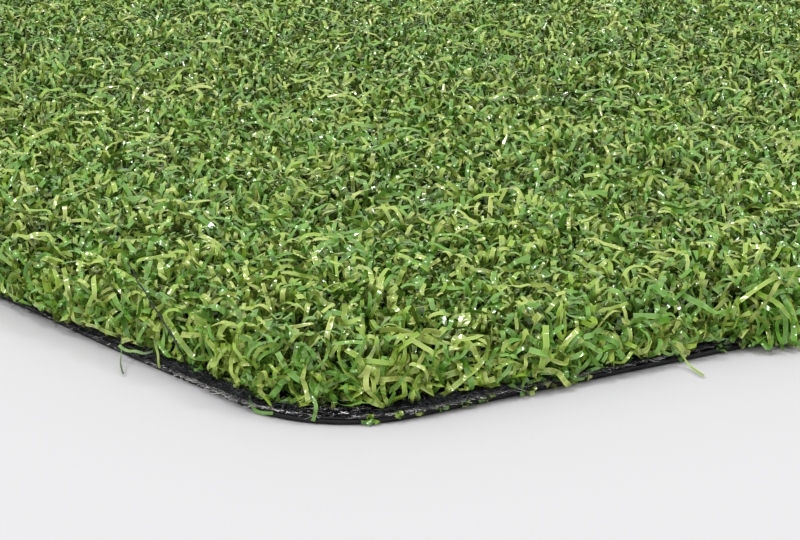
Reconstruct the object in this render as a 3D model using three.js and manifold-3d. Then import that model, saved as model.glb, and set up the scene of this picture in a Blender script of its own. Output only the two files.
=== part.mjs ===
// A golf hitting mat: curled ribbon pile sewn in needle rows through a fleece-capped woven cloth,
// with its back stitches locked in a latex coat on a rubbery base sheet.
// Units are millimetres. +Z is up, +Y runs along the needle rows, and the origin is the centre of the underside.

import * as THREE from 'three';
import { mergeVertices } from 'three/addons/utils/BufferGeometryUtils.js';
import Module from 'manifold-3d';

const wasm = await Module();
wasm.setup();

// The mat
const rowPitch = 4.7625; // 3/16 inch tufting gauge
const rowsInBand = 8;
const bandCount = 16;
const matWidth = rowPitch * rowsInBand * bandCount; // 24 inches
const matLength = 914.4; // 36 inches
const cornerRadius = 20;
const layerGap = 0.05; // air between one layer and the next

// The layers, from the floor up
const baseThickness = 1;
const coatThickness = 0.45;
const clothThickness = 0.3;
const fleeceThickness = 0.45;
const coatBottom = baseThickness + layerGap;
const clothBottom = coatBottom + coatThickness + layerGap;
const fleeceBottom = clothBottom + clothThickness + layerGap;
const pileBottom = fleeceBottom + fleeceThickness + layerGap;

// The pile's outer shape
const pileHeight = 13.6;
const pileTop = pileBottom + pileHeight;
const sideInset = 1.2; // from the sheet's long edge to the foot of the pile
const endInset = 3.2; // the same at the cut ends of the rows
const overhang = 1.4; // how far the pile leans out past the sheet
const widestHeight = pileBottom + 6.5;
const shoulderDepth = 6;
const shoulderSteps = 4;
const cornerSteps = 5; // points round a quarter of a corner, less one
const bandGap = 0.3;

// The needle rows
const yarnWidth = 1.2;
const slitWidth = 1.8;
const stitchWidth = 2.6;
const stitchHeight = 0.3;
const grooveWidth = 3.2;
const grooveGap = 0.05; // under a back stitch
const rowEndInset = 4.2; // from the sheet's end to the first needle hole
const slitEndGap = 0.3;

const colours = {
  pile: 0x6b843b,
  fleece: 0x17181a,
  cloth: 0x4a4b4c,
  coat: 0x1c1c1d,
  base: 0x121213,
};

function solidFrom(geometry) {
  const bare = geometry.clone();
  bare.deleteAttribute('normal');
  bare.deleteAttribute('uv');
  const merged = mergeVertices(bare, 1e-4);
  return new wasm.Manifold(new wasm.Mesh({
    numProp: 3,
    vertProperties: Float32Array.from(merged.attributes.position.array),
    triVerts: Uint32Array.from(merged.index.array),
  }));
}

function geometryFrom(solid) {
  const mesh = solid.getMesh();
  const geometry = new THREE.BufferGeometry();
  geometry.setAttribute('position', new THREE.BufferAttribute(mesh.vertProperties, mesh.numProp));
  geometry.setIndex(new THREE.BufferAttribute(mesh.triVerts, 1));
  geometry.computeVertexNormals();
  return geometry;
}

function boxSolid(x, width, halfLength, bottom, top) {
  const geometry = new THREE.BoxGeometry(width, 2 * halfLength, top - bottom);
  geometry.translate(x, 0, (bottom + top) / 2);
  return solidFrom(geometry);
}

// Points round a rectangle with round corners, with the same number of points at every size.
function roundedOutline(halfWidth, halfLength, radius) {
  const points = [];
  for (let corner = 0; corner < 4; corner += 1) {
    const signX = corner === 0 || corner === 3 ? 1 : -1;
    const signY = corner < 2 ? 1 : -1;
    for (let step = 0; step <= cornerSteps; step += 1) {
      const angle = (corner + step / cornerSteps) * Math.PI / 2;
      points.push(new THREE.Vector2(
        signX * (halfWidth - radius) + radius * Math.cos(angle),
        signY * (halfLength - radius) + radius * Math.sin(angle),
      ));
    }
  }
  return points;
}

function sheetSolid(bottom, thickness) {
  const outline = new THREE.Shape(roundedOutline(matWidth / 2, matLength / 2, cornerRadius));
  const geometry = new THREE.ExtrudeGeometry(outline, { depth: thickness, bevelEnabled: false });
  geometry.translate(0, 0, bottom);
  return solidFrom(geometry);
}

// A closed skin through a stack of outlines, with a flat cap at each end.
function loftGeometry(rings) {
  const count = rings[0].length;
  const positions = [];
  const triangles = [];
  for (const ring of rings) {
    for (const point of ring) {
      positions.push(point.x, point.y, point.z);
    }
  }
  for (let level = 0; level + 1 < rings.length; level += 1) {
    for (let i = 0; i < count; i += 1) {
      const next = (i + 1) % count;
      const low = level * count;
      const high = low + count;
      triangles.push(low + i, low + next, high + next, low + i, high + next, high + i);
    }
  }
  const lastRing = (rings.length - 1) * count;
  for (let i = 1; i + 1 < count; i += 1) {
    triangles.push(0, i + 1, i);
    triangles.push(lastRing, lastRing + i, lastRing + i + 1);
  }
  const geometry = new THREE.BufferGeometry();
  geometry.setAttribute('position', new THREE.Float32BufferAttribute(positions, 3));
  geometry.setIndex(triangles);
  return geometry;
}

// The pile's outline at a height: insets are measured inwards from the widest line.
function pileRing(height, widthInset, lengthInset) {
  const halfWidth = matWidth / 2 + overhang - widthInset;
  const halfLength = matLength / 2 + overhang - lengthInset;
  const radius = cornerRadius + overhang - Math.min(widthInset, lengthInset);
  return roundedOutline(halfWidth, halfLength, radius)
    .map((point) => new THREE.Vector3(point.x, point.y, height));
}

// The pile leans outwards from its foot to its widest line, then rounds over to a flat top.
function pileSolid() {
  const rings = [pileRing(pileBottom, overhang + sideInset, overhang + endInset)];
  for (let step = 0; step <= shoulderSteps; step += 1) {
    const angle = step / shoulderSteps * Math.PI / 2;
    const inset = shoulderDepth * (1 - Math.cos(angle));
    rings.push(pileRing(widestHeight + (pileTop - widestHeight) * Math.sin(angle), inset, inset));
  }
  return solidFrom(loftGeometry(rings));
}

function rowPosition(row) {
  return (row + 0.5) * rowPitch - matWidth / 2;
}

// Half the length of a needle row, which ends short of the sheet's end and of its round corners.
function rowHalfLength(row) {
  const fromSide = matWidth / 2 - Math.abs(rowPosition(row)) - yarnWidth;
  const intoCorner = Math.max(0, cornerRadius - Math.max(0, fromSide));
  const cornerLoss = cornerRadius - Math.sqrt(cornerRadius ** 2 - intoCorner ** 2);
  return matLength / 2 - rowEndInset - cornerLoss;
}

// One straight bar for every needle row of the mat, of the given width, between two heights.
function rowBars(rows, width, extraLength, bottom, top) {
  const bars = rows.map((row) => (
    boxSolid(rowPosition(row), width, rowHalfLength(row) + extraLength, bottom, top)
  ));
  return wasm.Manifold.union(bars);
}

const group = new THREE.Group();

function addPiece(name, solid, colour, roughness) {
  const material = new THREE.MeshStandardMaterial({ color: colour, roughness, metalness: 0 });
  const mesh = new THREE.Mesh(geometryFrom(solid), material);
  mesh.name = name;
  group.add(mesh);
}

const allRows = Array.from({ length: rowsInBand * bandCount }, (unused, row) => row);

addPiece('base_sheet', sheetSolid(0, baseThickness), colours.base, 0.6);

// The coat has a groove for every line of back stitches, closed underneath.
const stitchTop = clothBottom - layerGap;
const stitchBottom = stitchTop - stitchHeight;
const grooves = rowBars(allRows, grooveWidth, slitEndGap, stitchBottom - grooveGap, clothBottom);
addPiece('locking_coat', sheetSolid(coatBottom, coatThickness).subtract(grooves), colours.coat, 0.5);

// A slit in the cloth and the fleece stands for each row of needle holes.
const slits = rowBars(allRows, slitWidth, slitEndGap, coatBottom, pileTop);
addPiece('woven_backing', sheetSolid(clothBottom, clothThickness).subtract(slits), colours.cloth, 0.8);
addPiece('fleece_cap', sheetSolid(fleeceBottom, fleeceThickness).subtract(slits), colours.fleece, 1);

// The pile, in bands of needle rows. In each row the yarn goes down through its slit
// and runs under the cloth as a back stitch that is wider than the slit.
const pile = pileSolid();
const bandWidth = rowPitch * rowsInBand;
for (let band = 0; band < bandCount; band += 1) {
  const outer = band === 0 || band === bandCount - 1 ? 2 * overhang : 0;
  const side = band === 0 ? -1 : 1;
  const middle = (band + 0.5) * bandWidth - matWidth / 2;
  const slice = boxSolid(
    middle + side * outer / 2,
    bandWidth - bandGap + outer,
    matLength,
    0,
    2 * pileTop,
  );
  const rows = allRows.slice(band * rowsInBand, (band + 1) * rowsInBand);
  const yarn = rowBars(rows, yarnWidth, 0, stitchBottom, pileBottom + clothThickness);
  const stitches = rowBars(rows, stitchWidth, 0, stitchBottom, stitchTop);
  const piece = pile.intersect(slice).add(yarn).add(stitches);
  const number = String(band + 1).padStart(2, '0');
  addPiece(`pile_rows_${number}`, piece, colours.pile, 0.4);
}

export default group;
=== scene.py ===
"""A golf hitting mat seen close at one corner: curled ribbon pile on a fleece-capped, rubber-backed cloth.

Lengths are metres, in the CAD frame: +Z up, +Y along the needle rows, origin at the centre of the underside.
"""
import math

import bpy
import numpy as np
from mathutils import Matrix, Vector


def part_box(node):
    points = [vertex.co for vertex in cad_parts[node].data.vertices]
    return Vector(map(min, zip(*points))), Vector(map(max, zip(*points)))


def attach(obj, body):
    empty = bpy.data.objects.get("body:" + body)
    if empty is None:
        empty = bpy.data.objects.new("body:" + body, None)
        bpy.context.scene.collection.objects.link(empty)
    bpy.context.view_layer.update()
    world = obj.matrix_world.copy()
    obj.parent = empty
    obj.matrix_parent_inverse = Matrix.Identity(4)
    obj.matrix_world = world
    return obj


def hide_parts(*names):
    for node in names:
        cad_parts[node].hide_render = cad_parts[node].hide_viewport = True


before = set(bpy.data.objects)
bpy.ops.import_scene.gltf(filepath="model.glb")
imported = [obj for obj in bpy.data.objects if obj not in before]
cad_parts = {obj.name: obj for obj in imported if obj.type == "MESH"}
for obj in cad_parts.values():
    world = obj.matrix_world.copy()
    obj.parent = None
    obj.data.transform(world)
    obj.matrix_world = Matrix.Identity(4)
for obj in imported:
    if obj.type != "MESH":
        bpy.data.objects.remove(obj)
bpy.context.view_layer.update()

MM = 0.001
UP = np.array([0.0, 0.0, 1.0])

# Needle rows, as in the CAD
ROW_PITCH = 4.7625 * MM
ROWS_IN_BAND = 8
BANDS = [f"pile_rows_{number:02d}" for number in range(1, 17)]
STITCH_PITCH = 3.1 * MM

# Sheets, as in the CAD
HIGH = np.array(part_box("fleece_cap")[1])
HALF_WIDTH, HALF_LENGTH = HIGH[0], HIGH[1]
CORNER_RADIUS = 20 * MM
FLEECE_TOP = HIGH[2]
CLOTH_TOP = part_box("woven_backing")[1].z
COAT_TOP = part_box("locking_coat")[1].z
PILE_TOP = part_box(BANDS[0])[1].z

# Ribbons
RIBBON_WIDTH = 0.98 * MM
RIBBON_LENGTH = 22 * MM
RIBBON_CREASES = 0.22  # how much a ribbon's glossy face is creased
STRETCH_CHANGE = 0.4  # how much longer or shorter than its mean a ribbon's stretch is, at most
SHARPEST_BEND = 120  # degrees at one knot
LIME_SHARE = 0.54  # of the ribbons; the rest are green
SHADE_CELLS = 16  # the bake map is a grid of this many shades each way
LIME_CELLS = 9  # columns of the grid that hold the lime yarn; the rest hold the green
PAINTED_SHADE_DEPTH = 7 * MM  # how deep in the pile a ribbon's painted shade is at its darkest
EDGE_BELT = 9 * MM  # how far in from the pile's foot its ribbons lean outwards
EDGE_FULLNESS = 1.5  # times as many ribbons in a tuft at the edge

# The corner next to the camera
NEAR_CORNER = np.array([-HALF_WIDTH, -HALF_LENGTH])
FALLEN = NEAR_CORNER + np.array([108, 3]) * MM  # where a few tufts have come loose and lean out to the floor

# Detail by distance from the near corner: reach, ribbons in a tuft, knots along a ribbon, steps to a bend
DETAIL = (
    (115 * MM, 6.6, 15, 2),
    (280 * MM, 5, 14, 1),
    (math.inf, 3.5, 11, 1),
)


# ---------------------------------------------------------------- helpers

def unit(vectors):
    """The vectors at length one."""
    return vectors / np.maximum(np.linalg.norm(vectors, axis=-1, keepdims=True), 1e-12)


def turn(vectors, axes, angles):
    """Each vector turned about its own unit axis."""
    cosine = np.cos(angles)[:, None]
    sine = np.sin(angles)[:, None]
    along = (vectors * axes).sum(1, keepdims=True) * axes
    return vectors * cosine + np.cross(axes, vectors) * sine + along * (1 - cosine)


def placed(name, mesh, material):
    """A mesh as a piece of the mat, in one material."""
    mesh.materials.append(material)
    piece = bpy.data.objects.new(name, mesh)
    bpy.context.scene.collection.objects.link(piece)
    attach(piece, "root")
    return piece


def strips_piece(name, strips, material):
    """A piece made of strips, from the points, quads, bake map and normals that strip_arrays gives."""
    points, quads, uv, normals = strips
    mesh = bpy.data.meshes.new(name)
    mesh.vertices.add(len(points))
    mesh.vertices.foreach_set("co", points.astype(np.float32).ravel())
    mesh.loops.add(quads.size)
    mesh.loops.foreach_set("vertex_index", quads.astype(np.int32).ravel())
    mesh.polygons.add(len(quads))
    mesh.polygons.foreach_set("loop_start", np.arange(0, quads.size, 4, dtype=np.int32))
    mesh.polygons.foreach_set("use_smooth", np.full(len(quads), True))
    mesh.update(calc_edges=True)
    layer = mesh.uv_layers.new(name="OFBake")
    layer.uv.foreach_set("vector", uv.astype(np.float32)[quads.ravel()].ravel())
    custom = mesh.attributes.new("custom_normal", "FLOAT_VECTOR", "POINT")
    custom.data.foreach_set("vector", normals.astype(np.float32).ravel())
    return placed(name, mesh, material)


# ---------------------------------------------------------------- materials

def new_material(name, roughness, specular):
    """A material, its node tree and its shader."""
    material = bpy.data.materials.new(name)
    material.use_nodes = True
    shader = material.node_tree.nodes["Principled BSDF"]
    shader.inputs["Roughness"].default_value = roughness
    shader.inputs["Specular IOR Level"].default_value = specular
    return material, material.node_tree, shader


def add_node(tree, kind, **values):
    """A new node with its properties set."""
    node = tree.nodes.new(kind)
    for key, value in values.items():
        setattr(node, key, value)
    return node


def math_node(tree, operation, first, second=None, third=None):
    """The output of a sum done on numbers or on other nodes' outputs."""
    node = add_node(tree, "ShaderNodeMath", operation=operation)
    for socket, value in zip(node.inputs, (first, second, third)):
        if value is None:
            continue
        if isinstance(value, (int, float)):
            socket.default_value = value
        else:
            tree.links.new(value, socket)
    return node.outputs[0]


def mix_colour(tree, factor, first, second, blend="MIX"):
    """The output of a mix of two colours, each of them a value or another node's output."""
    node = add_node(tree, "ShaderNodeMix", data_type="RGBA", blend_type=blend)
    for socket, value in ((node.inputs[0], factor), (node.inputs[6], first), (node.inputs[7], second)):
        if isinstance(value, (int, float, tuple)):
            socket.default_value = value
        else:
            tree.links.new(value, socket)
    return node.outputs[2]


def linear(red, green, blue):
    """A display colour, 0 to 255, as the linear colour that a shader wants."""
    levels = np.array([red, green, blue]) / 255
    curve = np.where(levels <= 0.04045, levels / 12.92, ((levels + 0.055) / 1.055) ** 2.4)
    return (*curve.tolist(), 1.0)


LIME_DARK, LIME_PALE = linear(109, 140, 38), linear(146, 158, 80)
GREEN_DARK, GREEN_PALE = linear(74, 118, 33), linear(101, 137, 58)
# painted shade: the colour the yarn is darkened to deep in the pile, where little light reaches
PAINTED_DEEP_SHADE = (0.035, 0.06, 0.018, 1)
FULL_COLOUR = 0.6  # the place on the painted-shade ramp from where a ribbon has its full colour
LINES_ACROSS = 13  # fine lines on a column of the bake map
DARKEST_LINE, LINE_CONTRAST = 0.94, 0.2
PAINTED_RIM_START, PAINTED_RIM_GAIN = 0.22, 0.25  # the painted highlight on the edges: how far off a column's centre, and how much paler


def cell_place(tree):
    """A strip's place on the bake map.

    Gives the column, the cell's chance, and how far up its cell and across it a point is.
    """
    place = add_node(tree, "ShaderNodeUVMap", uv_map="OFBake")
    split = add_node(tree, "ShaderNodeSeparateXYZ")
    tree.links.new(place.outputs[0], split.inputs[0])
    column = math_node(tree, "MULTIPLY", split.outputs[0], SHADE_CELLS)
    row = math_node(tree, "MULTIPLY", split.outputs[1], SHADE_CELLS)
    cell = add_node(tree, "ShaderNodeCombineXYZ")
    tree.links.new(math_node(tree, "FLOOR", column), cell.inputs[0])
    tree.links.new(math_node(tree, "FLOOR", row), cell.inputs[1])
    chance = add_node(tree, "ShaderNodeTexWhiteNoise", noise_dimensions="2D")
    tree.links.new(cell.outputs[0], chance.inputs["Vector"])
    return column, chance.outputs[0], math_node(tree, "FRACT", row), math_node(tree, "FRACT", column)


def yarn_material():
    """Two yarn colours, with a shade for each cell, fine lines along the ribbon and a painted highlight on
    its edges.

    A ribbon is darker with painted shade where it is deep in the pile, which is where it is low in its cell;
    a strip given no other places up its cell gets this painted shade towards its start.
    """
    material, tree, shader = new_material("curled_yarn", roughness=0.12, specular=0.56)
    column, chance, shade, across = cell_place(tree)
    lime = mix_colour(tree, chance, LIME_DARK, LIME_PALE)
    green = mix_colour(tree, chance, GREEN_DARK, GREEN_PALE)
    is_green = math_node(tree, "GREATER_THAN", column, LIME_CELLS)
    colour = mix_colour(tree, is_green, lime, green)
    lines = add_node(tree, "ShaderNodeTexWhiteNoise", noise_dimensions="1D")
    line_number = math_node(tree, "FLOOR", math_node(tree, "MULTIPLY", column, LINES_ACROSS))
    tree.links.new(line_number, lines.inputs["W"])
    grain = math_node(tree, "MULTIPLY_ADD", lines.outputs[0], LINE_CONTRAST, DARKEST_LINE)
    # painted highlight: the ribbon's edges are made paler, as if catching light; grain then holds it along
    # with the fine lines
    off_centre = math_node(tree, "ABSOLUTE", math_node(tree, "SUBTRACT", across, 0.5))
    painted_rim_light = math_node(tree, "GREATER_THAN", off_centre, PAINTED_RIM_START)
    grain = math_node(tree, "MULTIPLY_ADD", painted_rim_light, PAINTED_RIM_GAIN, grain)
    # painted shade: this ramp darkens the yarn where it is low in its cell
    ramp = add_node(tree, "ShaderNodeValToRGB")
    ramp.color_ramp.elements[0].color = PAINTED_DEEP_SHADE
    ramp.color_ramp.elements[1].position = FULL_COLOUR
    ramp.color_ramp.elements[1].color = (1, 1, 1, 1)
    tree.links.new(shade, ramp.inputs[0])
    with_painted_shade = mix_colour(tree, 1.0, colour, ramp.outputs[0], "MULTIPLY")
    lined = add_node(tree, "ShaderNodeVectorMath", operation="SCALE")
    tree.links.new(with_painted_shade, lined.inputs[0])
    tree.links.new(grain, lined.inputs["Scale"])
    tree.links.new(lined.outputs[0], shader.inputs["Base Color"])
    return material


def fibre_material(name, dark, light, roughness, rarity):
    """Fine fibres with a shade for each cell of the bake map, the pale ones rarer at a higher rarity."""
    material, tree, shader = new_material(name, roughness, specular=0.3)
    chance = cell_place(tree)[1]
    paleness = math_node(tree, "POWER", chance, rarity)
    tree.links.new(mix_colour(tree, paleness, dark, light), shader.inputs["Base Color"])
    return material


def speckled_material(name, dark, light, scale, roughness, share, bump, stretch=(1, 1, 1)):
    """A noise of two colours, the dark one over about the given share, with a bump of the same grain."""
    specular = 0.3 if roughness < 0.9 else 0.05
    material, tree, shader = new_material(name, roughness, specular)
    place = add_node(tree, "ShaderNodeTexCoord")
    size = add_node(tree, "ShaderNodeMapping")
    size.inputs["Scale"].default_value = stretch
    tree.links.new(place.outputs["Object"], size.inputs[0])
    noise = add_node(tree, "ShaderNodeTexNoise")
    noise.inputs["Scale"].default_value = scale
    noise.inputs["Detail"].default_value = 6
    tree.links.new(size.outputs[0], noise.inputs["Vector"])
    ramp = add_node(tree, "ShaderNodeValToRGB")
    half_blend = 0.12
    ramp.color_ramp.elements[0].position = share - half_blend
    ramp.color_ramp.elements[0].color = dark
    ramp.color_ramp.elements[1].position = share + half_blend
    ramp.color_ramp.elements[1].color = light
    tree.links.new(noise.outputs[0], ramp.inputs[0])
    tree.links.new(ramp.outputs[0], shader.inputs["Base Color"])
    relief = add_node(tree, "ShaderNodeBump")
    relief.inputs["Strength"].default_value = 0.6
    relief.inputs["Distance"].default_value = bump
    tree.links.new(noise.outputs[0], relief.inputs["Height"])
    tree.links.new(relief.outputs[0], shader.inputs["Normal"])
    return material


# ---------------------------------------------------------------- the mat's outline

def edge_distance(x, y):
    """How far a point is inside the sheet's rounded outline, negative outside it."""
    past_x = np.abs(x) - (HALF_WIDTH - CORNER_RADIUS)
    past_y = np.abs(y) - (HALF_LENGTH - CORNER_RADIUS)
    beyond = np.hypot(np.maximum(past_x, 0), np.maximum(past_y, 0))
    return CORNER_RADIUS - beyond - np.minimum(np.maximum(past_x, past_y), 0)


def outward(x, y):
    """The level direction from a point to the nearest edge of the sheet, and none in the middle."""
    past_x = np.maximum(np.abs(x) - (HALF_WIDTH - CORNER_RADIUS), 0) * np.sign(x)
    past_y = np.maximum(np.abs(y) - (HALF_LENGTH - CORNER_RADIUS), 0) * np.sign(y)
    return unit(np.stack([past_x, past_y, np.zeros_like(past_x)], -1))


def corner_distance(x, y):
    """How far a point is from the nearest corner of the sheet, as if the corners weren't round."""
    return np.hypot(HALF_WIDTH - np.abs(x), HALF_LENGTH - np.abs(y))


def along_side(x, y):
    """True where the nearest edge runs along the needle rows, false where it cuts across their ends."""
    return HALF_WIDTH - np.abs(x) < HALF_LENGTH - np.abs(y)


def foot_line(x, y):
    """How far inside the edge the pile's foot is.

    Tufts are missing at a cut corner, and further along the pile hangs over the edge.
    """
    distance = corner_distance(x, y)
    side = -2.0 + 3.5 * np.exp(-(distance / (78 * MM)) ** 6)
    end = -2.4 + 3.9 * np.exp(-(distance / (42 * MM)) ** 3)
    return np.where(along_side(x, y), side, end) * MM


def undulation(x, y):
    """Slow ups and downs of the pile's top."""
    across_rows = np.sin(x / (11 * MM) + 1.3 * np.sin(y / (17 * MM)))
    along_rows = np.sin(y / (13 * MM) + 1.1 * np.sin(x / (19 * MM) + 2))
    return 0.5 * MM * (across_rows + along_rows)


# ---------------------------------------------------------------- ribbons

def chain(rng, roots, headings, stretch, knots, curl, kink, steer=None):
    """Knots and width directions of curled ribbons.

    A flat ribbon bends only about its own width and twists about its own line. So each is a chain of
    short straight stretches with a bend about its width at every knot. It curls one way for a while and
    then the other. A steering rule may turn a stretch before it is taken.
    """
    count = len(roots)
    heading = unit(headings)
    axis = unit(np.cross(heading, unit(rng.normal(0, 1, (count, 3)))))
    way = rng.choice([-1, 1], count)
    place = roots.copy()
    places, axes = [place], [axis]
    for _ in range(knots - 1):
        length = (stretch * rng.uniform(1 - STRETCH_CHANGE, 1 + STRETCH_CHANGE, count))[:, None]
        if steer:
            heading = unit(steer(place + heading * length, heading))
        place = place + heading * length
        wander = axis + rng.normal(0, 0.3, (count, 3))
        fresh = unit(wander - (wander * heading).sum(1, keepdims=True) * heading)
        axis = fresh * np.sign((fresh * axis).sum(1, keepdims=True) + 1e-9)
        places.append(place)
        axes.append(axis)
        way = np.where(rng.random(count) < 0.25, -way, way)
        angle = np.clip(way * curl + rng.normal(0, kink, count), -SHARPEST_BEND, SHARPEST_BEND)
        heading = turn(heading, axis, np.radians(angle))
    return np.stack(places, 1), np.stack(axes, 1)


def turned_back(rng, ahead, heading, floors, tops, walls):
    """Headings turned down under the pile's top, up above a floor, and back from a wall past the edge."""
    count = len(ahead)
    over = (ahead[:, 2] > tops) & (heading[:, 2] > 0)
    heading[:, 2] = np.where(over, -heading[:, 2] * rng.uniform(0.1, 1.0, count), heading[:, 2])
    low = (ahead[:, 2] < floors) & (heading[:, 2] < 0)
    heading[:, 2] = np.where(low, -heading[:, 2] * rng.uniform(0.0, 1.0, count), heading[:, 2])
    away = outward(ahead[:, 0], ahead[:, 1])
    leaving = (heading * away).sum(1)
    past = (edge_distance(ahead[:, 0], ahead[:, 1]) < walls) & (leaving > 0)
    back = np.where(past, leaving * rng.uniform(0.9, 1.8, count), 0)
    return heading - away * back[:, None]


def grow(rng, roots, stretch, knots, fineness, tops, walls):
    """Centre lines and width directions of the pile's ribbons, steered under a top and inside a wall."""
    count = len(roots)
    foot = foot_line(roots[:, 0], roots[:, 1])
    from_foot = edge_distance(roots[:, 0], roots[:, 1]) - np.maximum(foot, 0)
    near_edge = np.clip(1 - from_foot / EDGE_BELT, 0, 1)[:, None]
    hangs = (foot < 0)[:, None]
    lean = outward(roots[:, 0], roots[:, 1]) * near_edge * (rng.uniform(0.0, 1.6, (count, 1)) + hangs)
    rise = 1 - near_edge * rng.uniform(0, 1.2, (count, 1)) * (1 + 0.4 * hangs)
    headings = UP * rise + rng.normal(0, 0.4, (count, 3)) * (1, 1, 0) * (1 + 1.8 * near_edge) + lean
    hung = near_edge[:, 0] * np.maximum(rng.uniform(0.3, 1, count), 0.85 * hangs[:, 0])
    floors = tops * (0.45 - 0.45 * hung)
    loose = 1 - 0.85 * hung

    def steer(ahead, heading):
        climb = (ahead[:, 2] < floors + 0.2 * tops) * loose * rng.uniform(0.2, 0.7, count)
        return turned_back(rng, ahead, heading + UP * climb[:, None], floors, tops, walls)

    curl = rng.uniform(19, 58, count)
    places, axes = chain(rng, roots, headings, stretch, knots, curl, kink=22, steer=steer)
    sharpness = rng.uniform(0.8, 2.6, (count, 1, 1))
    lines, sides = smooth_ribbon(places, axes, fineness, sharpness)
    return settle(lines), sides


def droop(rng, roots, headings, floors, walls, knots, sag):
    """Limp ribbons sinking from their roots to a floor of their own, steered inside a wall."""
    count = len(roots)

    def steer(ahead, heading):
        sinking = heading - UP * rng.uniform(0.3 * sag, 1.7 * sag, (count, 1))
        return turned_back(rng, ahead, sinking, floors, PILE_TOP, walls)

    stretch = rng.uniform(1.1, 1.6, count) * MM
    curl = rng.uniform(5, 32, count)
    places, axes = chain(rng, roots, headings, stretch, knots, curl, kink=15, steer=steer)
    sharpness = rng.uniform(0.8, 2.0, (count, 1, 1))
    lines, sides = smooth_ribbon(places, axes, 2, sharpness)
    return settle(lines), sides


def smooth_ribbon(knots, axes, fineness, sharpness=1.6):
    """A chain's centre line and width directions, with its corners rounded off."""
    lines = rounded(knots, fineness, sharpness)
    sides = unit(rounded(axes, fineness, 1.0))
    run = unit(np.gradient(lines, axis=1))
    return lines, unit(sides - (sides * run).sum(2, keepdims=True) * run)


def rounded(knots, fineness, sharpness):
    """Points along a chain, rounded from mid-stretch to mid-stretch, closer to its corners when sharper."""
    spans = knots.shape[1] - 2
    along = np.linspace(0, spans, spans * fineness + 1)
    span = np.minimum(along.astype(int), spans - 1)
    share = (along - span)[None, :, None]
    start, corner, end = knots[:, span], knots[:, span + 1], knots[:, span + 2]
    start = np.where((span == 0)[None, :, None], start, (start + corner) / 2)
    end = np.where((span == spans - 1)[None, :, None], end, (corner + end) / 2)
    first, middle, last = (1 - share) ** 2, sharpness * 2 * share * (1 - share), share ** 2
    return (start * first + corner * middle + end * last) / (first + middle + last)


def settle(lines):
    """Keeps ribbons above the fleece, or above the floor where they hang past the sheet."""
    inside = edge_distance(lines[..., 0], lines[..., 1]) > -0.2 * MM
    ground = np.where(inside, FLEECE_TOP + 0.2 * MM, 0.5 * MM)
    ground[:, 0] = -1  # roots stay where they are, and the pile's are down in their needle holes
    lines[..., 2] = np.maximum(lines[..., 2], ground)
    return lines


def painted_depth_shade(lines):
    """Places up a cell for painted shade, from dark deep inside the pile to the full colour at its outside.
    """
    x, y, z = lines[..., 0], lines[..., 1], lines[..., 2]
    depth = np.minimum(PILE_TOP - z, edge_distance(x, y) - foot_line(x, y))
    return 0.92 - 0.84 * np.clip(depth / PAINTED_SHADE_DEPTH, 0, 1)


def strip_arrays(rng, lines, sides, width, columns, creases=0.0, up_cell=None):
    """Points, quads, bake map and normals of flat strips along the given lines.

    Each strip has one cell of the bake map. Its points lie across the cell as they do across the strip,
    and up the cell as they do along the strip, unless other places up the cell are given. In the yarn,
    places low in a cell get painted shade.
    """
    count, rings = lines.shape[:2]
    widths = width * rng.uniform(0.6, 1.15, count)[:, None, None]
    run = unit(np.gradient(lines, axis=1))
    face = unit(np.cross(sides, run) + run * rng.normal(0, 1, (count, rings, 1)) * creases)
    cup = rng.normal(0, 0.12, (count, 1, 1)) + rng.normal(0, 1, (count, rings, 1)) * creases / 2
    points = np.stack([lines - sides * widths / 2, lines + sides * widths / 2], 2)
    normals = np.stack([unit(face - cup * sides), unit(face + cup * sides)], 2)
    ring = np.arange(rings - 1)
    corner = (np.arange(count)[:, None] * rings + ring) * 2
    quads = np.stack([corner, corner + 1, corner + 3, corner + 2], -1).reshape(-1, 4)
    row = rng.integers(0, SHADE_CELLS, count)
    across = np.array([0.2, 0.8])
    if up_cell is None:
        up_cell = np.linspace(0.08, 0.92, rings)[None]
    u = (columns[:, None, None] + across[None, None, :]) / SHADE_CELLS + np.zeros((1, rings, 1))
    v = (row[:, None, None] + up_cell[:, :, None]) / SHADE_CELLS + np.zeros((1, 1, 2))
    uv = np.stack([u, v], -1)
    return points.reshape(-1, 3), quads, uv.reshape(-1, 2), normals.reshape(-1, 3)


def yarn_columns(rng, is_lime):
    """A column of the bake map for each ribbon, by the colour of its yarn."""
    lime = rng.integers(0, LIME_CELLS, len(is_lime))
    green = rng.integers(LIME_CELLS, SHADE_CELLS, len(is_lime))
    return np.where(is_lime, lime, green)


def joined(parts):
    """Several sets of strip arrays as one."""
    points, quads, uv, normals = zip(*parts)
    starts = np.cumsum([0] + [len(some) for some in points[:-1]])
    shifted = [some + start for some, start in zip(quads, starts)]
    return tuple(np.concatenate(arrays) for arrays in (points, shifted, uv, normals))


def tufts(rng, row):
    """The stitches of one needle row, where its tufts stand."""
    x = (row + 0.5) * ROW_PITCH - HALF_WIDTH
    y = np.arange(-HALF_LENGTH, HALF_LENGTH, STITCH_PITCH)
    y = y + rng.uniform(-0.4, 0.4, len(y)) * MM
    places = np.stack([np.full(len(y), x), y, np.full(len(y), FLEECE_TOP - 0.3 * MM)], 1)
    ragged = np.maximum(foot_line(x, y) + 0.9 * MM, 0.5 * MM) + rng.normal(0, 0.7, len(y)) * MM
    return places[edge_distance(x, y) > np.maximum(ragged, 0.3 * MM)]


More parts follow.
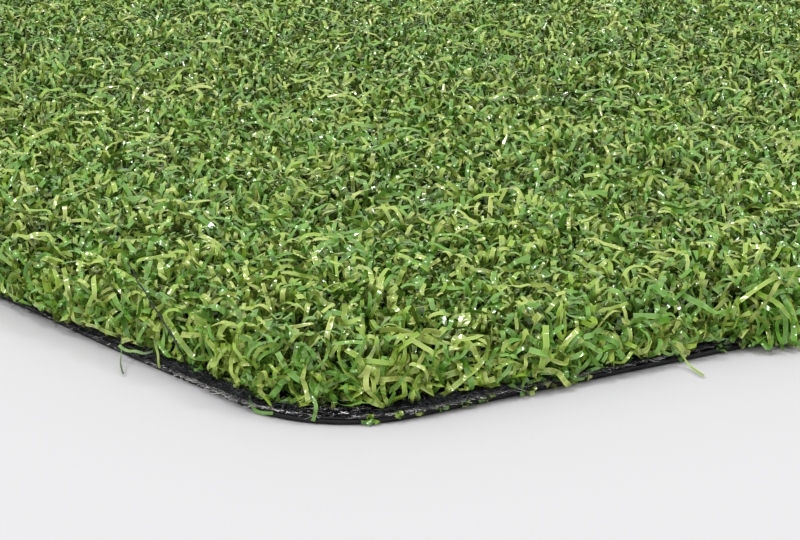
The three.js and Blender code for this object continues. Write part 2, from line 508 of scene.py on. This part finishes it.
def pile_band(number, material):
    """The ribbons of one band of needle rows, in a piece for each level of detail that it reaches into."""
    rng = np.random.default_rng(100 + number)
    stitches = np.concatenate([tufts(rng, number * ROWS_IN_BAND + row) for row in range(ROWS_IN_BAND)])
    distance = np.linalg.norm(stitches[:, :2] - NEAR_CORNER, axis=1)
    nearest = 0.0
    for level, (reach, in_tuft, knots, fineness) in enumerate(DETAIL):
        here = stitches[(distance >= nearest) & (distance < reach)]
        nearest = reach
        if not len(here):
            continue
        at_edge = edge_distance(here[:, 0], here[:, 1]) < 10 * MM
        wanted = np.where(at_edge, EDGE_FULLNESS * in_tuft, in_tuft)
        copies = np.floor(wanted + rng.random(len(here))).astype(int)
        roots = np.repeat(here, copies, axis=0)
        count = len(roots)
        roots[:, :2] += rng.uniform(-0.9, 0.9, (count, 2)) * MM
        stretch = rng.uniform(0.75, 1.25, count) * RIBBON_LENGTH / knots
        short_of_top = np.abs(rng.normal(0.3, 2.0, count)) * MM
        tops = PILE_TOP + undulation(roots[:, 0], roots[:, 1]) - short_of_top
        walls = foot_line(roots[:, 0], roots[:, 1]) + rng.normal(-0.7, 0.9, count) * MM
        lines, sides = grow(rng, roots, stretch, knots, fineness, tops, walls)
        columns = yarn_columns(rng, rng.random(count) < LIME_SHARE)
        # painted shade on the ribbons deep in the pile
        strips = strip_arrays(rng, lines, sides, RIBBON_WIDTH, columns, RIBBON_CREASES, painted_depth_shade(lines))
        piece = strips_piece(f"pile_{number + 1:02d}_{'abc'[level]}", strips, material)
        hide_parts(BANDS[number])


# ---------------------------------------------------------------- loose ends

HAIR_STEPS = 5  # along a fibre


def edge_places(rng, count, near_reach, elsewhere):
    """Random points round the outline, denser towards the near corner, with the edge's own direction."""
    ring = outline(0, 0.25 * MM, [])
    along = np.roll(ring, -1, axis=0) - ring
    distance = np.linalg.norm(ring - NEAR_CORNER, axis=1)
    chance = np.exp(-distance / near_reach) + elsewhere
    picked = rng.choice(len(ring), count, p=chance / chance.sum())
    return ring[picked], unit(along[picked])


def straight_out(along):
    """The level directions out of the sheet, from the edge's own directions."""
    return np.stack([along[:, 1], -along[:, 0]], 1)


def hairs(rng, roots, directions, length, lift, curl=1.0):
    """Fine fibres lying along the cloth, each in its own curl, arching up in the middle."""
    count = len(roots)
    share = np.linspace(0, 1, HAIR_STEPS + 1)
    angle = np.arctan2(directions[:, 1], directions[:, 0])[:, None]
    angle = angle + rng.normal(0, curl, (count, 1)) * share
    angle = angle + rng.normal(0, 0.8, (count, 1)) * np.sin(5 * share)
    level = np.stack([np.cos(angle), np.sin(angle), np.zeros_like(angle)], -1)
    lines = roots[:, None] + np.cumsum(level, axis=1) * (length / HAIR_STEPS)[:, None, None]
    lines[..., 2] += lift[:, None] * np.sin(math.pi * np.clip(share * 1.15, 0, 1))
    return lines


def across_hairs(rng, lines):
    """Width directions for fibres, level or tilted by chance."""
    run = unit(np.gradient(lines, axis=1))
    wander = UP + rng.normal(0, 1.0, (len(lines), 1, 3))
    return unit(np.cross(run, wander))


def edge_ribbons(rng):
    """Ribbons drooping over the edge, where the pile hangs past it."""
    places, along = edge_places(rng, 3000, near_reach=90 * MM, elsewhere=0.3)
    kept = foot_line(places[:, 0], places[:, 1]) < -0.6 * MM
    places, along = places[kept], along[kept]
    count = len(places)
    across = straight_out(along)
    roots = np.column_stack([places - across * rng.uniform(0.3, 4.5, (count, 1)) * MM,
                             FLEECE_TOP + rng.uniform(0.5, 7.0, count) * MM])
    level = across * rng.uniform(0.4, 1.2, (count, 1)) + along * rng.normal(0, 0.8, (count, 1))
    headings = np.column_stack([level, rng.normal(0.2, 0.5, count)])
    floors = rng.uniform(0.6, 5.0, count) * MM
    walls = -rng.uniform(0.8, 3.0, count) * MM
    return droop(rng, roots, headings, floors, walls, knots=9, sag=0.3)


def fallen_ribbons(rng):
    """Ribbons of the tufts that have come loose at the near end and lean out to the floor."""
    count = 190
    roots = np.column_stack([FALLEN + rng.normal(0, 1, (count, 2)) * (4.2 * MM, 1.8 * MM),
                             FLEECE_TOP + rng.uniform(0.5, 10, count) * MM])
    headings = np.column_stack([rng.normal(0, 0.45, count),
                                np.full(count, -1),
                                rng.uniform(-0.5, 0.6, count)])
    floors = np.full(count, 0.7 * MM)
    walls = -rng.uniform(4, 11, count) * MM
    return droop(rng, roots, headings, floors, walls, knots=12, sag=0.14)


def fringe(material):
    """The ribbons that hang or lean out past the edge, the fallen ones mostly green."""
    rng = np.random.default_rng(26)
    groups = [(edge_ribbons(rng), LIME_SHARE), (fallen_ribbons(rng), 0.3)]
    parts = []
    for (lines, sides), lime_share in groups:
        columns = yarn_columns(rng, rng.random(len(lines)) < lime_share)
        # painted shade on the ribbons deep in the pile
        strips = strip_arrays(rng, lines, sides, RIBBON_WIDTH, columns, RIBBON_CREASES, painted_depth_shade(lines))
        parts.append(strips)
    strips_piece("fringe", joined(parts), material)


def fleece_fuzz(material):
    """The fleece's loose hairs, mostly over the bare margin, with clumps of lint on the long edge."""
    rng = np.random.default_rng(21)
    count = 17000
    places, along = edge_places(rng, count, near_reach=28 * MM, elsewhere=0.02)
    across = straight_out(along)
    reach = np.maximum(foot_line(places[:, 0], places[:, 1]) + 2 * MM, 0.8 * MM)
    depth = rng.uniform(-0.25 * MM, reach)
    roots = np.column_stack([places - across * depth[:, None], FLEECE_TOP - rng.uniform(0, 0.3, count) * MM])
    length = rng.uniform(1.5, 4.2, count) * MM
    lint = np.repeat([60, 84, 92, 103, 112], 60)  # how far along the long edge, in millimetres
    lint_roots = np.column_stack([rng.normal(-0.1, 0.6, len(lint)),
                                  lint + rng.normal(0, 1.2, len(lint)),
                                  rng.uniform(0.5, 2.2, len(lint))])
    roots = np.concatenate([roots, from_corner(lint_roots)])
    length = np.concatenate([length, rng.uniform(0.9, 2.2, len(lint)) * MM])
    count = len(roots)
    lift = np.abs(rng.normal(0, 0.45, count)) * MM
    lines = hairs(rng, roots, rng.normal(0, 1, (count, 2)), length, lift, curl=2.4)
    lines[..., 2] = np.maximum(lines[..., 2], 0.1 * MM)
    columns = rng.integers(0, SHADE_CELLS, count)
    strips = strip_arrays(rng, lines, across_hairs(rng, lines), width=0.1 * MM, columns=columns)
    strips_piece("fleece_fuzz", strips, material)


def cut_fibres(material):
    """Pale fibres of the cut cloth along the edge.

    They are frayed up over the fleece at a corner and pressed down along a side.
    """
    rng = np.random.default_rng(22)
    count = 4200
    places, along = edge_places(rng, count, near_reach=22 * MM, elsewhere=0.006)
    across = straight_out(along)
    distance = corner_distance(places[:, 0], places[:, 1])
    frayed = np.exp(-(distance / (10.5 * MM)) ** 8)
    past_corner = np.clip(distance / (12 * MM) - 1.2, 0, 1)
    pressed = past_corner * along_side(places[:, 0], places[:, 1])
    height = rng.uniform(COAT_TOP - 0.3 * frayed * MM, CLOTH_TOP + (0.85 * frayed - 0.08) * MM)
    height = height - (0.65 * pressed + rng.uniform(0, 0.25, count) * pressed) * MM
    depth = (rng.uniform(-0.25, 0.1, count) + frayed * rng.uniform(-0.1, 1.2, count)) * MM
    depth = np.where(height < CLOTH_TOP, np.minimum(depth, 0.1 * MM), depth)
    lies_on_top = rng.random(count) < 0.7 * frayed
    height = np.where(lies_on_top, FLEECE_TOP + rng.uniform(0, 0.35, count) * MM, height)
    depth = np.where(lies_on_top, rng.uniform(0, 2.6, count) * MM, depth)
    roots = np.column_stack([places - across * depth[:, None], height])
    stray = (0.22 + 0.5 * frayed)[:, None]
    directions = along * np.sign(rng.normal(0, 1, (count, 1))) + rng.normal(0, 1, (count, 2)) * stray
    length = rng.uniform(0.8, 2.6, count) * MM
    lift = rng.normal(0, 0.12, count) * MM
    lines = hairs(rng, roots, directions, length, lift)
    inside = np.maximum(edge_distance(lines[..., 0], lines[..., 1]) + 0.05 * MM, 0)
    inside = np.where((height > CLOTH_TOP)[:, None], 0, inside)
    lines = lines + outward(lines[..., 0], lines[..., 1]) * inside[..., None]
    columns = rng.integers(0, SHADE_CELLS, count)
    strips = strip_arrays(rng, lines, across_hairs(rng, lines), width=0.09 * MM, columns=columns)
    strips_piece("cut_fibres", strips, material)


def corner_inset(x):
    """How far the sheet's end is cut back by its round corner at a distance from the middle."""
    into_corner = np.clip(np.abs(x) - HALF_WIDTH + CORNER_RADIUS, 0, CORNER_RADIUS * 0.98)
    return CORNER_RADIUS - np.sqrt(CORNER_RADIUS ** 2 - into_corner ** 2)


def stitch_ends(material):
    """The back stitches cut through at both ends of every needle row, some of them gone.

    Each end is two small clumps of crumpled loops, one clump of each yarn.
    """
    rng = np.random.default_rng(23)
    rows = (np.arange(len(BANDS) * ROWS_IN_BAND) + 0.5) * ROW_PITCH - HALF_WIDTH
    parts = []
    for end in (-1, 1):
        from_near = np.hypot(rows + HALF_WIDTH, end * HALF_LENGTH + HALF_LENGTH)
        chance = 0.25 + 0.65 * np.exp(-(from_near / (48 * MM)) ** 4)
        chance[from_near < 9 * MM] = 0
        for lime in (True, False):
            kept = rows[rng.random(len(rows)) < chance]
            x = np.repeat(kept, 3) + (0.45 if lime else -0.45) * MM
            count = len(x)
            y = end * (HALF_LENGTH - corner_inset(x) - rng.uniform(-0.1, 0.2, count) * MM)
            z = COAT_TOP - rng.uniform(0.1, 0.6, count) * MM
            roots = np.column_stack([x + rng.normal(0, 0.2, count) * MM, y, z])
            headings = np.column_stack([rng.normal(0, 0.5, count),
                                        np.full(count, end),
                                        rng.normal(-0.3, 0.3, count)])
            stretch = rng.uniform(0.4, 0.8, count) * MM
            knots, axes = chain(rng, roots, headings, stretch, knots=5, curl=62, kink=30)
            knots[..., 2] = np.clip(knots[..., 2], 0.5 * MM, CLOTH_TOP)
            lines, sides = smooth_ribbon(knots, axes, 2)
            columns = yarn_columns(rng, np.full(count, lime))
            # painted shade towards the start of each loop, from the yarn's ramp
            parts.append(strip_arrays(rng, lines, sides, 0.95 * MM, columns, creases=0.1))
    strips_piece("stitch_ends", joined(parts), material)


def from_corner(points):
    """Places in millimetres from the near corner, as places in the frame."""
    return np.array(points, float) * MM + np.array([*NEAR_CORNER, 0])


def laid(rng, points, width, lime, across, fineness=4):
    """One strip laid along chosen places."""
    knots = from_corner(points)[None]
    axes = np.tile(np.array(across, float), (1, len(points), 1))
    lines, sides = smooth_ribbon(knots, axes, fineness, 1.2)
    columns = yarn_columns(rng, np.array([lime]))
    # painted shade towards the strip's start, where its material is the yarn
    return strip_arrays(rng, lines, sides, width, columns, creases=0.05)


def stray_ribbons(material):
    """The few ribbons that hang over the edge near the corner."""
    rng = np.random.default_rng(24)
    curl = [(2.7, 22.5, 3.6), (1.1, 22, 3.2), (-0.3, 21.8, 2.8), (-0.8, 20.4, 2.1),
            (-0.8, 19.7, 1), (-0.7, 18.5, 0.4), (-0.3, 16.6, 0.5), (0.3, 14.6, 0.9)]
    tongue = [(5.2, 10.6, 5.6), (4.5, 9, 5.2), (4.3, 7.6, 4.3),
              (4.2, 6.8, 3.3), (4, 6.9, 2), (3.7, 7.2, 0.7)]
    flat = [(1.9, 21.6, 4), (1.5, 20.7, 3.5), (0.7, 18.1, 3.1), (0.2, 16, 2.8), (0.1, 14.7, 2.2)]
    hanging = [(-8, 53, 0.5), (-6.5, 57, 1), (-4.5, 60, 2), (-3, 62.7, 3.6), (-2.5, 63.5, 5)]
    leaf = [(-0.8, 54.5, 3.4), (-1.8, 56, 2.6), (-2.2, 58.5, 2.8), (-2.7, 61.5, 2.1), (-2.9, 63.8, 2.8)]
    hook = [(-2.2, 51, 6.8), (-2.6, 50.6, 6), (-3, 48.6, 4.6), (-3.2, 48.4, 2.8), (-2.8, 48.6, 1.8)]
    trailing = [(79, -1, 4.6), (79.5, -2.5, 3.6), (80.4, -3.5, 2.3),
                (80.5, -4.6, 1.1), (80, -7, 0.5), (78.7, -11, 0.5)]
    parts = [
        laid(rng, curl, 0.7 * MM, False, (0.4, 0.3, 0.8)),
        laid(rng, tongue, 0.9 * MM, False, (0.9, -0.6, 0.1)),
        laid(rng, flat, 1.0 * MM, True, (0.8, 0.6, 0.0)),
        laid(rng, hanging, 0.4 * MM, False, (0.3, 0.9, 0.1)),
        laid(rng, leaf, 0.7 * MM, False, (0.6, 0.1, 0.7)),
        laid(rng, hook, 0.6 * MM, True, (0.9, -0.3, 0.1)),
        laid(rng, trailing, 0.5 * MM, True, (0.9, 0.3, 0.1)),
    ]
    strips_piece("stray_ribbons", joined(parts), material)


def loose_thread(material):
    """A dark thread lying over the pile and down its side, as two strips crossed along their length."""
    rng = np.random.default_rng(25)
    thread = [(2, 68.6, 17.5), (0.2, 62.9, 17.3), (-1.7, 58.5, 16.4), (-2.4, 54, 15.4),
              (-3.5, 49.6, 13.8), (-3.2, 47.4, 12.3), (-3.6, 44.8, 10.9), (-3, 42.8, 9.2),
              (-3, 41.4, 7.6), (-1.5, 41.3, 5.2), (-1, 41.7, 1.9)]
    widths = ((0.8, -0.4, 0.2), (0.3, 0.3, 0.9))
    parts = [laid(rng, thread, 0.42 * MM, True, across, 5) for across in widths]
    strips_piece("loose_thread", joined(parts), material)


# ---------------------------------------------------------------- sheets

SHEET_STEP = 1.5 * MM  # between the points round a sheet's edge
ARC_STEPS = 16  # points round a quarter of a corner
TOP_INSETS = (16, 9, 5, 2.5, 1.0, 0.25, 0.0)  # rings of a sheet's top inside its edge, in millimetres
UNDER_INSETS = (0.25, 16)  # the same for its underside


def corner_middle(corner, width, length, radius):
    """The middle of a corner's arc. The corners are counted anticlockwise from the one at +X and +Y."""
    sign_x = 1 if corner in (0, 3) else -1
    sign_y = 1 if corner < 2 else -1
    return np.array([sign_x * (width - radius), sign_y * (length - radius)])


def outline(inset, spacing, waves):
    """Points round the sheet, at a distance inside its edge, with an uneven cut made of the given waves."""
    width, length = HALF_WIDTH - inset, HALF_LENGTH - inset
    radius = max(CORNER_RADIUS - inset, 1 * MM)
    points = []
    for corner in range(4):
        middle = corner_middle(corner, width, length, radius)
        angles = (corner + np.linspace(0, 1, ARC_STEPS, endpoint=False)) * math.pi / 2
        points.append(middle + radius * np.stack([np.cos(angles), np.sin(angles)], 1))
        last_angle = (corner + 1) * math.pi / 2
        reach = radius * np.array([math.cos(last_angle), math.sin(last_angle)])
        side_start = middle + reach
        side_end = corner_middle((corner + 1) % 4, width, length, radius) + reach
        side_length = 2 * (HALF_WIDTH if corner % 2 == 0 else HALF_LENGTH)
        share = np.linspace(0, 1, int(side_length / spacing), endpoint=False)[:, None]
        points.append(side_start + (side_end - side_start) * share)
    points = np.concatenate(points)
    around = np.arange(len(points)) / len(points)
    swell = sum(size * np.sin(2 * math.pi * (turns * around + phase)) for turns, phase, size in waves)
    return points * (1 + np.reshape(swell, (-1, 1)) / HALF_WIDTH)


def layered_sheet(name, node, material, seed, spread, roughness):
    """A sheet with a thin uneven edge, as its CAD layer lies.

    spread is how far its edge is past the CAD layer's, and roughness how uneven its top is, in millimetres.
    """
    rng = np.random.default_rng(seed)
    low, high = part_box(node)
    waves = [(rng.integers(7, 40), rng.random(), rng.uniform(0.05, 0.18) * MM) for _ in range(6)]
    rings = []
    for inset in TOP_INSETS:
        ring = outline((inset - spread) * MM, SHEET_STEP, waves)
        grain = rng.normal(0, roughness, len(ring)) * MM
        if inset == TOP_INSETS[0]:
            grain[:] = 0  # the one large face in the middle is flat
        edge_drop = 0.12 * MM if inset == 0 else 0
        rings.append(np.column_stack([ring, high.z + grain - edge_drop]))
    edge = outline(-spread * MM, SHEET_STEP, waves)
    count = len(edge)
    cut = edge * (1 + rng.normal(0, 0.1, (count, 1)) * MM / HALF_WIDTH)
    rings.append(np.column_stack([cut, np.full(count, (low.z + high.z) / 2)]))
    rings.append(np.column_stack([edge, np.full(count, low.z + 0.1 * MM)]))
    for inset in UNDER_INSETS:
        ring = outline((inset - spread) * MM, SHEET_STEP, waves)
        rings.append(np.column_stack([ring, np.full(count, low.z)]))
    around = np.arange(count)
    following = (around + 1) % count
    faces = []
    for level in range(len(rings) - 1):
        start, below = level * count, (level + 1) * count
        quads = np.stack([start + around, below + around, below + following, start + following], 1)
        faces += [tuple(quad) for quad in quads.tolist()]
    last = (len(rings) - 1) * count
    faces.append(tuple(range(count)))
    faces.append(tuple(range(last + count - 1, last - 1, -1)))
    mesh = bpy.data.meshes.new(name)
    mesh.from_pydata(np.concatenate(rings).tolist(), [], faces)
    mesh.polygons.foreach_set("use_smooth", np.full(len(faces), True))
    mesh.update()
    piece = placed(name, mesh, material)
    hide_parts(node)


# ---------------------------------------------------------------- stage

def make_floor():
    """The pale floor, just under the mat and far wider than it."""
    mesh = bpy.data.meshes.new("floor")
    reach = 6.0
    level = -0.1 * MM
    corners = [(x * reach, y * reach, level) for x, y in ((-1, -1), (1, -1), (1, 1), (-1, 1))]
    mesh.from_pydata(corners, [], [(0, 1, 2, 3)])
    material, tree, shader = new_material("floor_white", roughness=0.55, specular=0.3)
    noise = add_node(tree, "ShaderNodeTexNoise")
    noise.inputs["Scale"].default_value = 3
    colour = mix_colour(tree, noise.outputs[0], linear(174, 172, 173), linear(181, 179, 180))
    tree.links.new(colour, shader.inputs["Base Color"])
    mesh.materials.append(material)
    floor = bpy.data.objects.new("floor", mesh)
    bpy.context.scene.collection.objects.link(floor)


GLINT_COLOUR = (0.95, 0.98, 1)


def make_light(name, place, angle, strength, colour=(1, 1, 1)):
    """A lamp so far off that it lights the whole floor evenly, as wide as the given angle in degrees."""
    light = bpy.data.lights.new(name, "SUN")
    light.angle = math.radians(angle)
    light.energy = strength
    light.color = colour
    lamp = bpy.data.objects.new(name, light)
    bpy.context.scene.collection.objects.link(lamp)
    lamp.location = place
    lamp.rotation_euler = (-lamp.location).to_track_quat("-Z", "Y").to_euler()


def make_world():
    """Even white light from all round."""
    world = bpy.data.worlds.new("studio")
    bpy.context.scene.world = world
    world.use_nodes = True
    background = world.node_tree.nodes["Background"]
    background.inputs[0].default_value = (1.0, 1.0, 1.0, 1)
    background.inputs[1].default_value = 0.7


def make_camera():
    """The camera stands low and close to one corner, looking along the mat's diagonal."""
    camera_data = bpy.data.cameras.new("camera")
    camera_data.sensor_width = 36
    camera_data.lens = 102
    camera_data.clip_start = 0.01
    camera = bpy.data.objects.new("camera", camera_data)
    bpy.context.scene.collection.objects.link(camera)
    camera.location = (-0.5090, -0.7628, 0.1169)
    degrees_down, degrees_right = 13.39, 35.91  # from the level, and from +Y
    camera.rotation_euler = (math.radians(90 - degrees_down), 0, -math.radians(degrees_right))
    bpy.context.scene.camera = camera


make_camera()
make_floor()
make_world()
make_light("softbox_top", (-0.2, 0.2, 3), angle=110, strength=0.55)
make_light("softbox_back", (-1.2, 2.4, 1.6), angle=30, strength=0.15, colour=(1, 0.98, 0.95))
make_light("softbox_front", (-0.8, -1.9, 1.1), angle=85, strength=1.4)
make_light("glint_lamp_left", (-1.15, -0.2, 1.2), angle=11, strength=1.4, colour=GLINT_COLOUR)
make_light("glint_lamp_right", (0.85, -0.8, 1.2), angle=11, strength=1.1, colour=GLINT_COLOUR)
make_light("glint_lamp_top", (-0.25, -0.05, 1.8), angle=11, strength=1.05, colour=GLINT_COLOUR)

yarn = yarn_material()
for number in range(len(BANDS)):
    pile_band(number, yarn)
fringe(yarn)
stitch_ends(yarn)
stray_ribbons(yarn)

# the paler shades of the black fibres are partly their own greyer fibres and partly painted sheen
black_fibre = fibre_material(
    "black_fibre", linear(3, 3, 4), linear(62, 64, 68), roughness=0.5, rarity=3.0)
pale_fibre = fibre_material(
    "pale_fibre", linear(60, 59, 58), linear(236, 234, 230), roughness=0.8, rarity=1.5)
fleece_fuzz(black_fibre)
loose_thread(black_fibre)
cut_fibres(pale_fibre)

black_fleece = speckled_material(
    "black_fleece", linear(2, 2, 3), linear(16, 17, 18),
    scale=1400, roughness=0.95, share=0.55, bump=0.3 * MM)
cut_cloth = speckled_material(
    "cut_cloth", linear(20, 20, 21), linear(84, 84, 83),
    scale=1600, roughness=0.9, share=0.5, bump=0.2 * MM, stretch=(1, 1, 3))
latex = speckled_material(
    "dried_latex", linear(8, 8, 9), linear(22, 22, 24),
    scale=500, roughness=0.6, share=0.5, bump=0.1 * MM)
rubber = speckled_material(
    "base_rubber", linear(8, 9, 10), linear(20, 21, 23),
    scale=300, roughness=0.5, share=0.5, bump=0.1 * MM)
layered_sheet("fleece_layer", "fleece_cap", black_fleece, seed=1, spread=0.0, roughness=0.06)
layered_sheet("cloth_layer", "woven_backing", cut_cloth, seed=2, spread=0.0, roughness=0.02)
layered_sheet("latex_layer", "locking_coat", latex, seed=3, spread=-0.1, roughness=0.0)
layered_sheet("rubber_layer", "base_sheet", rubber, seed=4, spread=0.1, roughness=0.0)

bpy.context.scene.view_settings.view_transform = "Standard"
